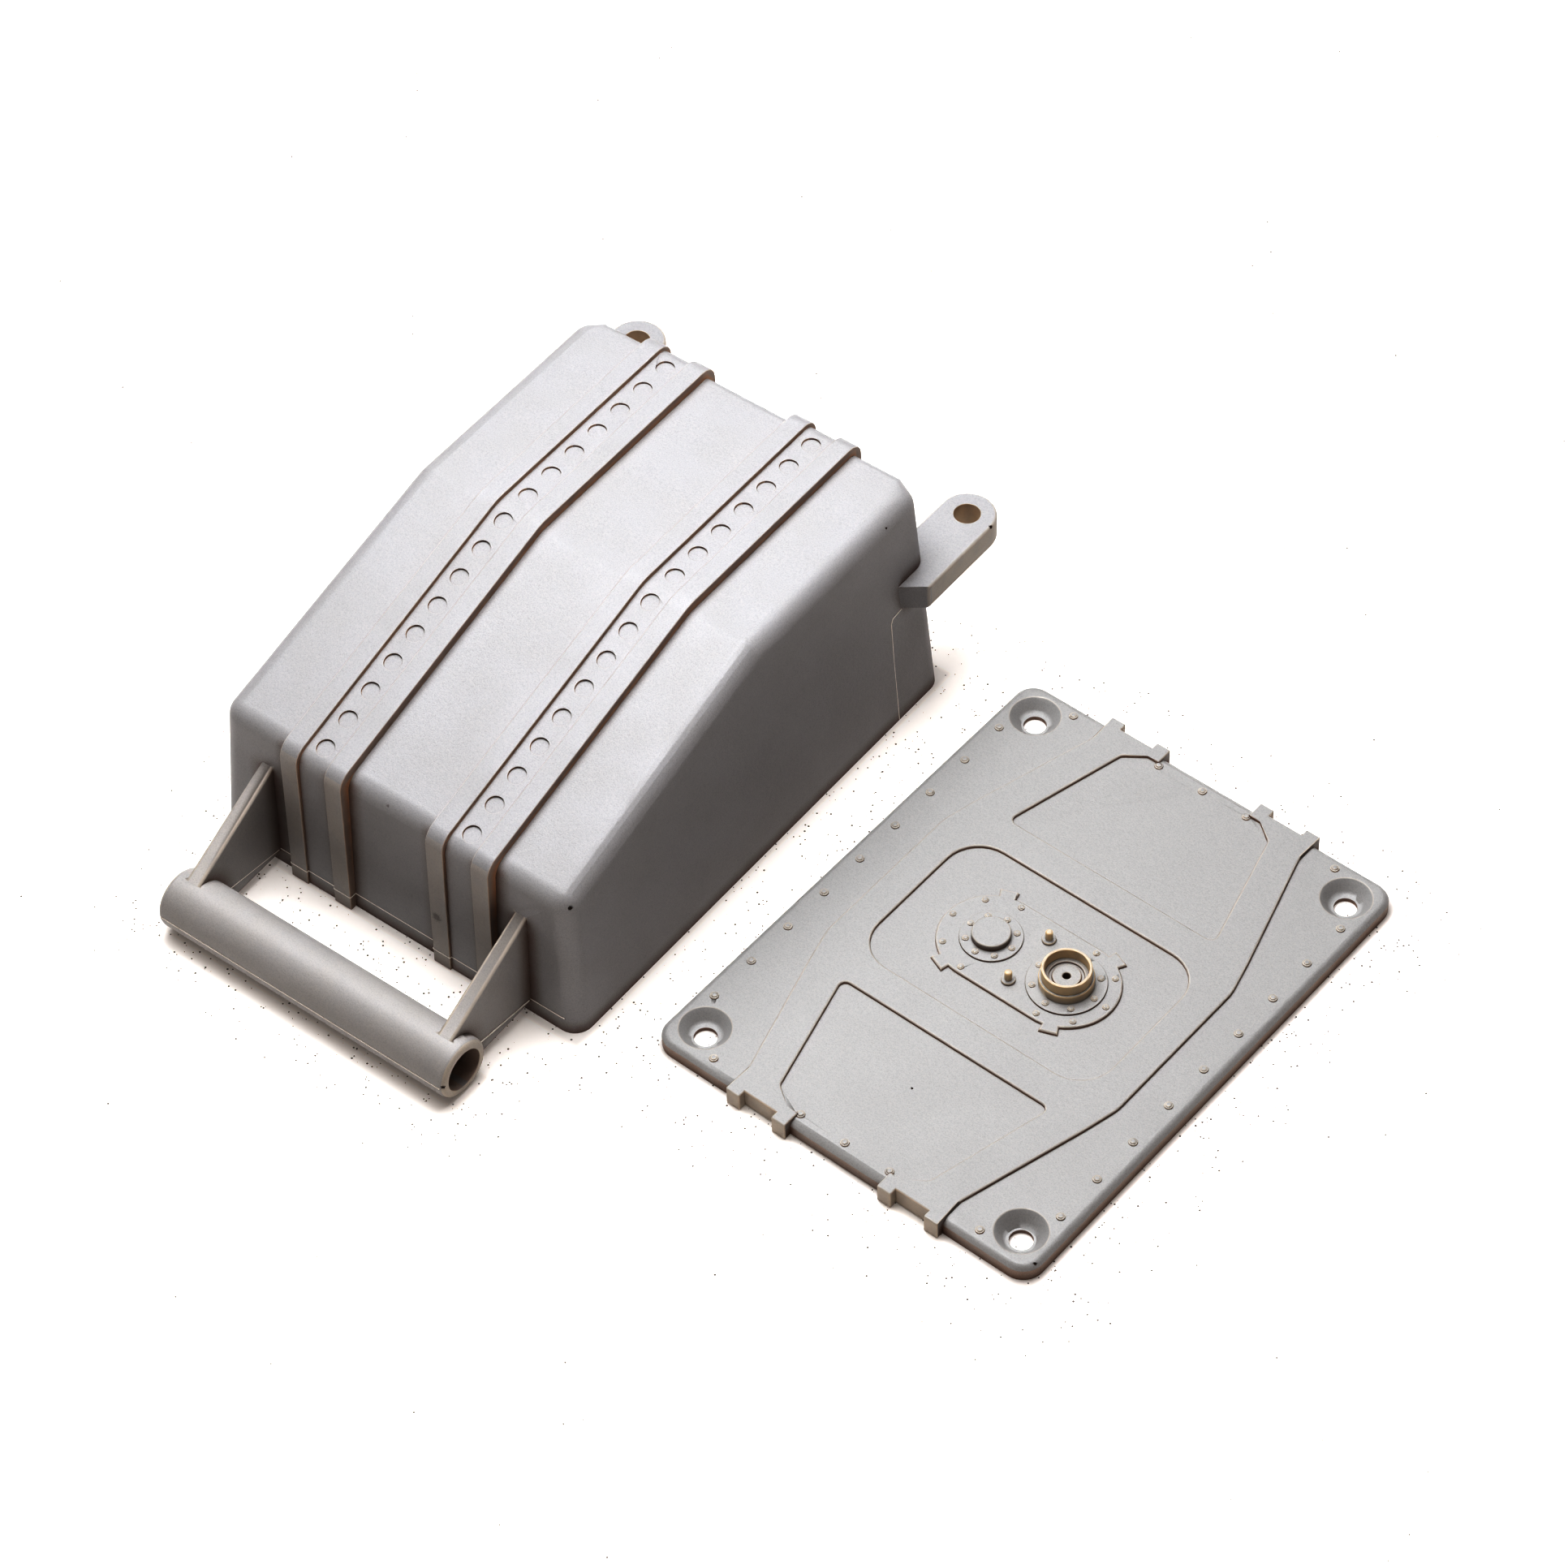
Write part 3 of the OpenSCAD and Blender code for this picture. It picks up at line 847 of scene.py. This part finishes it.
def chain_of(run: Sequence[bmesh.types.BMEdge]) -> list[Vector]:
    """Puts the points of a run of edges in order.

    Args:
        run: edges that hang together without a fork.

    Returns:
        The points from one end to the other.
    """
    members = set(run)
    ends = [v for e in run for v in e.verts if sum(x in members for x in v.link_edges) == 1]
    vert = ends[0] if ends else run[0].verts[0]
    points = [vert.co.copy()]
    while members:
        edge = next((e for e in vert.link_edges if e in members), None)
        if edge is None:
            break
        members.discard(edge)
        vert = edge.other_vert(vert)
        points.append(vert.co.copy())
    return points


def finished(bm: bmesh.types.BMesh, name: str, sharp_angle: float) -> bpy.types.Object:
    """Turns a bmesh into a piece that rides on the root body, with smooth faces and crisp edges.

    Args:
        bm: the mesh, which is freed.
        name: name of the piece.
        sharp_angle: the least angle between faces that is shaded as an edge, in degrees.

    Returns:
        The piece.
    """
    mesh = bpy.data.meshes.new(name)
    bm.to_mesh(mesh)
    bm.free()
    mesh.polygons.foreach_set("use_smooth", [True] * len(mesh.polygons))
    mesh.set_sharp_from_angle(angle=math.radians(sharp_angle))
    piece = bpy.data.objects.new(name, mesh)
    bpy.context.scene.collection.objects.link(piece)
    normals = piece.modifiers.new("face_weighted_normals", "WEIGHTED_NORMAL")
    normals.keep_sharp = True
    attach(piece, "root")
    return piece


# Boxes and facings of the housing's masks

RIBS = Box((6.7, 0, -0.1), (17.7, 42, 40))
INNER_RIB_ENDS = Box((6.9, 38.6, -0.1), (9.95, 42, 40))
OUTER_RIB_ENDS = Box((14.4, 38.6, -0.1), (17.5, 42, 40))
ARM_TOPS = Box((19.5, 39.8, 5.0), (23.2, 53.0, 18.5))
LUGS = Box((20.0, 40.3, 19), (33.0, 52.0, 24))
LUG_HOLES = Box((26.2, 45.5, 19), (30.1, 49.5, 24))
TUBE = Box((0, 49.5, -0.1), (24.3, 58.2, 8.6))
TUBE_ENDS = Box((23.4, 49.5, 0), (24.3, 58.2, 8.6))
TUBE_BORE = Box((0, 50.75, 1.3), (23.6, 56.85, 7.2))
SIDEWAYS = (0.7, 0, 0)
PARTLY_SIDEWAYS = (0.3, 0, 0)
ENDWAYS = (0, 0.9, 0)
PARTLY_ENDWAYS = (0, 0.25, 0)


@dataclass
class Housing(Moulding):
    """The shell with its straps, arms, cross tube and lugs."""

    node: str = "housing"
    name: str = "housing_moulding"
    radii: tuple[EdgeRadius, ...] = (
        EdgeRadius("recess rims", Box((10.7, 0, 20), (13.7, 40, 40)), 0.07, 2),
        EdgeRadius("lug holes", LUG_HOLES, 0.12, 2),
        EdgeRadius("lugs", Box((20.0, 33.0, 19), (33.0, 52.0, 24)), 0.4),
        EdgeRadius("tube bore", Box((23.9, 50.0, 0.9), (24.5, 57.2, 7.6)), 0.15, 2),
        EdgeRadius("arm tops", Box((19.5, 36.0, 6.0), (23.2, 56.0, 18.5)), 0.5, 4),
        EdgeRadius("arm feet", Box((19.5, 38.5, 0.5), (23.2, 56.0, 6.5)), 0.3),
        EdgeRadius("ribs", RIBS, 0.15),
    )
    # Painted shade on the ribs' sides, in the lug holes and in the tube's bore; a painted glow on
    # the ribs, tube, arms and lugs
    patches: tuple[WallPatch, ...] = (
        WallPatch(STEP_SHADE_MASK, RIBS, facing=SIDEWAYS),
        WallPatch(STEP_SHADE_MASK, LUG_HOLES, 0.8),
        WallPatch(STEP_SHADE_MASK, TUBE_BORE, upward=1.0),
        WallPatch(THIN_GLOW_MASK, RIBS, 0.1, SIDEWAYS),
        WallPatch(THIN_GLOW_MASK, INNER_RIB_ENDS, 0.14, ENDWAYS),
        WallPatch(THIN_GLOW_MASK, OUTER_RIB_ENDS, 0.14, ENDWAYS),
        WallPatch(THIN_GLOW_MASK, TUBE_ENDS, 0.3, PARTLY_SIDEWAYS, 1.0),
        WallPatch(THIN_GLOW_MASK, ARM_TOPS, 0.1, PARTLY_ENDWAYS, 1.0),
        WallPatch(THIN_GLOW_MASK, LUGS, 0.25),
        WallPatch(THIN_GLOW_MASK, LUG_HOLES, 0.5),
        WallPatch(THIN_GLOW_MASK, TUBE, 0.07, upward=1.0),
    )
    marks: tuple[Mark, ...] = (
        Mark((28.39, -36.3, 22.17), 0.36),
        Mark((24.0, -57.7, 4.6), 0.34),
        Mark((32.06, 47.51, 23.0), 0.3),
        Mark((-0.64, -37.34, 22.7), 0.3, sunk=False),
        Mark((27.86, 30.13, 34.6), 0.17),
        Mark((8.12, -39.68, 9.19), 0.9, sunk=False),
    )


# Boxes of the cover plate's masks

RELIEF_SIDES = Box((0, 0, 2.45), (25.0, 39.5, 3.0))
SLAB_SIDES = Box((0, 0, -0.1), (31.0, 40.5, 1.75))
TABS = Box((5.9, 38.2, 0.0), (18.6, 40.5, 3.0))


@dataclass
class CoverPlate(Moulding):
    """The relief plate with its frame, hatch, filler neck and rivets."""

    node: str = "cover_plate"
    name: str = "cover_plate_moulding"
    middle: tuple[float, float] = (70.1, 3.8)
    turn: float = -2.1
    radii: tuple[EdgeRadius, ...] = (
        EdgeRadius("ring top", Box((2.0, 0, 6.0), (10.0, 4.0, 6.3)), 0.14),
        EdgeRadius("stud tips", Box((0, 3.6, 4.6), (0.7, 4.9, 4.9)), 0.3),
        EdgeRadius("stud feet", Box((0, 3.2, 3.2), (1.1, 5.3, 3.5)), 0.14, 2),
        EdgeRadius("cap and ring foot", Box((2.0, 0, 4.0), (10.5, 4.0, 4.7)), 0.22),
        EdgeRadius("flanges", Box((0.5, 0, 3.2), (11.7, 5.5, 3.26)), 0.1, 2),
        EdgeRadius("countersinks", Box((21.5, 30.0, 2.4), (29.2, 38.0, 2.6)), 0.15, 2),
        EdgeRadius("tabs", Box((5.9, 37.2, 0.0), (18.6, 40.5, 3.0)), 0.22),
        EdgeRadius("relief", Box((0, 0, 2.9), (25.0, 39.2, 3.0)), 0.28, 4),
        # The rivets' rounded faces also get a painted glow
        EdgeRadius("hatch rivets", Box((0, 0, 2.96), (14, 8, 3.7)), 0.085, 3, 0.34),
        EdgeRadius("edge rivets", Box((0, 0, 2.55), (31, 40, 3.7)), 0.12, 3, 0.22),
    )
    # The filler ring and the studs get a painted glow where their thin walls let light through
    thin_walls: tuple[ThinWall, ...] = (
        ThinWall((6.1, 0.0), 2.8, 3.75, 2.6, 4.6),
        ThinWall((0.0, 4.25), 0.0, 1.1, 2.96, 3.6),
        ThinWall((0.0, -4.25), 0.0, 1.1, 2.96, 3.6),
    )
    # Painted shade on the sides of the relief and of the slab; a painted glow on the tabs
    patches: tuple[WallPatch, ...] = (
        WallPatch(STEP_SHADE_MASK, RELIEF_SIDES),
        WallPatch(STEP_SHADE_MASK, SLAB_SIDES, 0.35),
        WallPatch(THIN_GLOW_MASK, TABS, 0.25),
    )
    marks: tuple[Mark, ...] = (
        Mark((98.48, -34.06, 2.31), 0.28),
        Mark((99.1, -33.71, 0.92), 0.25),
        Mark((62.77, 11.53, 2.95), 0.25),
        Mark((70.33, -21.47, 2.5), 0.17),
    )


@dataclass
class PartingLines:
    """Fine lines that the halves of the housing's mould leave on it.

    Attributes:
        name: name of the piece.
        bead: radius of the beads that stand for the lines.
        bead_steps: how finely the beads are rounded.
        wall_z: height of the line round the front wall.
        front_y: the outside of the front wall and of its ribs lies between these.
        front_half: half the length of the line round the front wall.
        tube_z: height of the tube's middle.
        tube_y: place of the tube's middle along the housing.
        tube_r: radius of the tube.
        tube_half: half the length of the line on the tube.
        arm_faces: places of an arm's two faces across the housing.
        arm_root_y: where the lines on the arms begin, along the housing.
        arm_tip_z: height at which they reach the tube.
        shut_off: points of the line below the right lug.
        sharp_angle: the least angle between faces that is shaded as an edge, in degrees.
    """

    name: str = "parting_lines"
    bead: float = 0.1
    bead_steps: int = 1
    wall_z: float = 2.4
    front_y: tuple[float, float] = (-40.6, -38.3)
    front_half: float = 28.2
    tube_z: float = 4.25
    tube_y: float = -53.8
    tube_r: float = 4.25
    tube_half: float = 23.6
    arm_faces: tuple[float, float] = (20.05, 22.55)
    arm_root_y: float = -39.2
    arm_tip_z: float = 3.6
    shut_off: tuple[Point, ...] = (
        (30.35, 29.25, 0.12), (29.63, 29.17, 10.4), (29.2, 29.2, 18.0), (29.15, 29.6, 18.7),
        (29.1, 31.6, 18.95),
    )
    sharp_angle: float = 60.0

    def build(self, housing: bpy.types.Object, finish: MouldedPlastic) -> bpy.types.Object:
        """Makes all the lines as one piece of thin round beads.

        Args:
            housing: the dressed housing, whose section gives the line round the front.
            finish: the plastic.

        Returns:
            The piece.
        """
        curve = bpy.data.curves.new(self.name, "CURVE")
        curve.dimensions = "3D"
        curve.bevel_depth = self.bead * MM
        curve.bevel_resolution = self.bead_steps
        curve.use_fill_caps = True
        for chain in [*self._round_front(housing), *self._on_tube(), *self._shut_offs()]:
            spline = curve.splines.new("POLY")
            spline.points.add(len(chain) - 1)
            for point, place in zip(spline.points, chain):
                point.co = (*place, 1.0)
        return self._as_mesh(curve, finish)

    def _as_mesh(self, curve: bpy.types.Curve, finish: MouldedPlastic) -> bpy.types.Object:
        """Turns the beads into one mesh piece.

        Args:
            curve: the beads.
            finish: the plastic.

        Returns:
            The piece.
        """
        carrier = bpy.data.objects.new(self.name + "_path", curve)
        bpy.context.scene.collection.objects.link(carrier)
        bpy.context.view_layer.update()
        evaluated = carrier.evaluated_get(bpy.context.evaluated_depsgraph_get())
        mesh = bpy.data.meshes.new_from_object(evaluated)
        bpy.data.objects.remove(carrier)
        bm = bmesh.new()
        bm.from_mesh(mesh)
        bpy.data.meshes.remove(mesh)
        bmesh.ops.remove_doubles(bm, verts=bm.verts, dist=WELD)
        bmesh.ops.recalc_face_normals(bm, faces=bm.faces)
        piece = finished(bm, self.name, self.sharp_angle)
        piece.data.materials.append(finish.build(self.name + "_plastic", ()))
        log.info("%s: %d faces", self.name, len(piece.data.polygons))
        return piece

    def _round_front(self, housing: bpy.types.Object) -> list[list[Vector]]:
        """Chains of points where the mould's halves meet round the front wall and its ribs.

        Args:
            housing: the dressed housing.

        Returns:
            One chain for each unbroken stretch.
        """
        bm = bmesh.new()
        bm.from_mesh(housing.data)
        everything = [*bm.verts, *bm.edges, *bm.faces]
        cut = bmesh.ops.bisect_plane(bm, geom=everything, dist=WELD,
                                     plane_co=(0, 0, self.wall_z * MM), plane_no=(0, 0, 1))
        edges = [g for g in cut["geom_cut"] if isinstance(g, bmesh.types.BMEdge)
                 and all(self._on_front(v.co) for v in g.verts)]
        chains = [chain_of(run) for run in runs(edges)]
        bm.free()
        return [c for c in chains if len(c) > 1]

    def _on_front(self, co: Vector) -> bool:
        """Whether a point of the section lies on the outside of the front wall or its ribs."""
        outer, inner = (y * MM for y in self.front_y)
        return outer < co.y < inner and abs(co.x) < self.front_half * MM

    def _on_tube(self) -> list[list[Vector]]:
        """The line along the front of the tube, and those up the arms' faces.

        Returns:
            One chain of points for each line.
        """
        front, back = ((self.tube_y + side * self.tube_r) * MM for side in (-1, 1))
        half = self.tube_half
        chains = [[Vector((x * MM, front, self.tube_z * MM)) for x in (-half, 0.0, half)]]
        for x in (side * face * MM for side in (-1, 1) for face in self.arm_faces):
            chains.append([Vector((x, self.arm_root_y * MM, self.wall_z * MM)),
                           Vector((x, back, self.arm_tip_z * MM))])
        return chains

    def _shut_offs(self) -> list[list[Vector]]:
        """The lines on the side walls below the lugs."""
        return [[Vector((side * x, y, z)) * MM for x, y, z in self.shut_off] for side in (-1, 1)]


# Studio


@dataclass(frozen=True)
class Softbox:
    """A square area light that faces a point of the table, with its lengths in metres.

    Attributes:
        name: name of the light.
        place: where it hangs.
        size: its width.
        power: its power, in watts.
        colour: colour of its light.
        target: the point that it faces.
    """

    name: str
    place: Point
    size: float
    power: float
    colour: Rgb = (1.0, 1.0, 1.0)
    target: Point = (0.035, 0.0, 0.01)

    def build(self) -> None:
        """Makes the light."""
        data = bpy.data.lights.new(self.name, "AREA")
        data.size = self.size
        data.energy = self.power
        data.color = self.colour
        ahead = Vector(self.target) - Vector(self.place)
        lamp = bpy.data.objects.new(self.name, data)
        lamp.location = self.place
        lamp.rotation_euler = ahead.to_track_quat("-Z", "Y").to_euler()
        bpy.context.scene.collection.objects.link(lamp)


@dataclass(frozen=True)
class PhotoCamera:
    """The camera of the photograph, found by fitting the parts' corners to it.

    Attributes:
        name: name of the camera.
        azimuth: turn round the object, in degrees.
        elevation: height above the horizon, in degrees.
        roll: turn about the view axis, in degrees.
        focal: focal length in pixels of an image that is image_px wide.
        image_px: width of the image, in pixels.
        sensor: width of the sensor.
        aim: how far the view axis passes from the frame's origin, to the right and up.
        reach: distance from the camera to the origin along the view axis.
        near: distance from which the camera sees.
    """

    name: str = "photo_camera"
    azimuth: float = 39.14
    elevation: float = 48.71
    roll: float = -2.0
    focal: float = 6278.86
    image_px: float = 1932.0
    sensor: float = 36.0
    aim: tuple[float, float] = (26.409, -4.531)
    reach: float = 682.18
    near: float = 50.0

    def build(self) -> None:
        """Makes the camera and makes it the scene's."""
        a, e, r = (math.radians(v) for v in (self.azimuth, self.elevation, self.roll))
        ahead = Vector((-math.sin(a) * math.cos(e), math.cos(a) * math.cos(e), -math.sin(e)))
        level = Vector((math.cos(a), math.sin(a), 0.0))
        upright = level.cross(ahead)
        right = level * math.cos(r) + upright * math.sin(r)
        up = upright * math.cos(r) - level * math.sin(r)
        place = (right * self.aim[0] + up * self.aim[1] - ahead * self.reach) * MM
        turned = Matrix((right, up, -ahead)).transposed().to_4x4()
        data = bpy.data.cameras.new(self.name)
        data.sensor_width = self.sensor
        data.lens = self.focal * self.sensor / self.image_px
        data.clip_start = self.near * MM
        camera = bpy.data.objects.new(self.name, data)
        camera.matrix_world = Matrix.Translation(place) @ turned
        bpy.context.scene.collection.objects.link(camera)
        bpy.context.scene.camera = camera


@dataclass(frozen=True)
class Studio:
    """White table, soft lights and a dim warm room.

    Attributes:
        floor_half: half the width of the table top, in metres.
        room: colour of the room's light.
        room_strength: its strength.
        lights: the softboxes.
        gamma: gamma of the picture.
        exposure: exposure of the picture, in stops.
    """

    floor_half: float = 3.0
    room: Rgb = (1.0, 0.81, 0.70)
    room_strength: float = 0.195
    lights: tuple[Softbox, ...] = (
        Softbox("key_softbox", (-0.07, 0.05, 0.38), 0.40, 1.9, (0.965, 0.98, 1.0)),
        Softbox("middle_softbox", (0.0, 0.03, 0.32), 0.22, 1.05, (0.975, 0.985, 1.0)),
        Softbox("top_softbox", (0.05, 0.05, 1.0), 1.2, 2.2, (0.98, 0.99, 1.0)),
        Softbox("front_fill", (0.05, -0.9, 0.30), 0.6, 0.6, (1.0, 0.93, 0.84)),
        Softbox("side_fill", (0.9, -0.1, 0.25), 0.6, 0.15, (1.0, 0.70, 0.58)),
    )
    gamma: float = 0.46
    exposure: float = -0.2

    def build(self) -> None:
        """Makes the table, the lights and the room, and sets how light becomes colour."""
        table = self._table()
        for light in self.lights:
            light.build()
        self._room()
        view = bpy.context.scene.view_settings
        view.view_transform = "Standard"
        view.gamma = self.gamma
        view.exposure = self.exposure
        log.info("studio: %s", ", ".join([table.name, *(light.name for light in self.lights)]))

    def _room(self) -> None:
        """Makes the room's dim light."""
        world = bpy.data.worlds.new("room")
        world.use_nodes = True
        backdrop = world.node_tree.nodes["Background"]
        backdrop.inputs["Color"].default_value = (*self.room, 1.0)
        backdrop.inputs["Strength"].default_value = self.room_strength
        bpy.context.scene.world = world

    def _table(self) -> bpy.types.Object:
        """Makes the table top, which isn't part of the object.

        Returns:
            The table top.
        """
        bm = bmesh.new()
        bmesh.ops.create_grid(bm, x_segments=1, y_segments=1, size=self.floor_half)
        mesh = bpy.data.meshes.new("table_top")
        bm.to_mesh(mesh)
        bm.free()
        mesh.materials.append(PaleFloor().build())
        table = bpy.data.objects.new("table_top", mesh)
        bpy.context.scene.collection.objects.link(table)
        return table


def main() -> None:
    """Builds every piece in order, then the studio and the camera."""
    logging.basicConfig(level=logging.INFO, format="%(message)s")
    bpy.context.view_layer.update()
    plastic = MouldedPlastic()
    # The parting lines are painted far lighter, a painted highlight, and without the painted
    # corner shade
    bead_highlight = replace(plastic, body=plastic.bead_highlight, deep=plastic.bead_highlight, soil_and_shade=plastic.bead_highlight)
    plate = replace(plastic, body=plastic.plate, deep=plastic.plate)
    housing = Housing().build(plastic)
    PartingLines().build(housing, bead_highlight)
    CoverPlate().build(plate)
    Studio().build()
    PhotoCamera().build()


if __name__ == "__main__":
    main()
